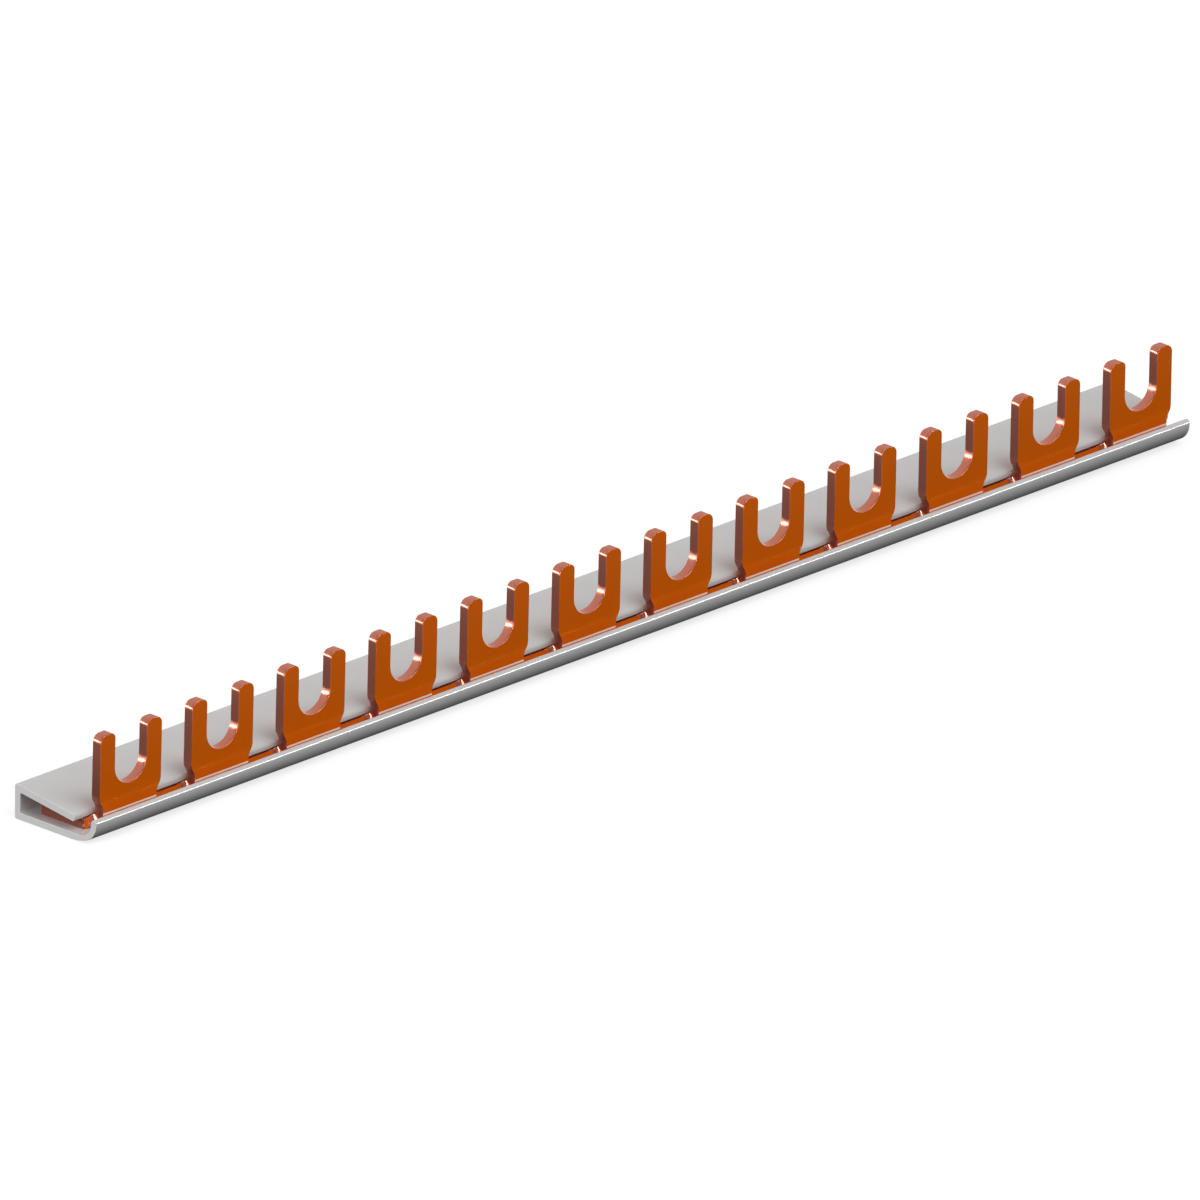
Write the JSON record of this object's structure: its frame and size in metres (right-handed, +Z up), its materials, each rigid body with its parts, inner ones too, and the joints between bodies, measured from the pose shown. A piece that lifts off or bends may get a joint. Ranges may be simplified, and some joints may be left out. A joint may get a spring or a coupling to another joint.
{
  "type": "comb busbar",
  "caption": "Copper comb with a row of slotted forks bent up from a flat strip, lying in an open light grey plastic profile.",
  "frame": {"origin": "under the middle of the object, in the plane of its flat base", "axes": "+X along the row of forks, +Y from the open front to the closed back of the profile, +Z up from the base, the way the forks point"},
  "size_m": [0.212, 0.0158, 0.0151],
  "materials": {
    "plastic": "satin extruded",
    "copper": "rolled and tumbled bare copper"
  },
  "bodies": {
    "root": {"insulating_profile": "plastic", "copper_comb": "copper"}
  },
  "joints": []
}
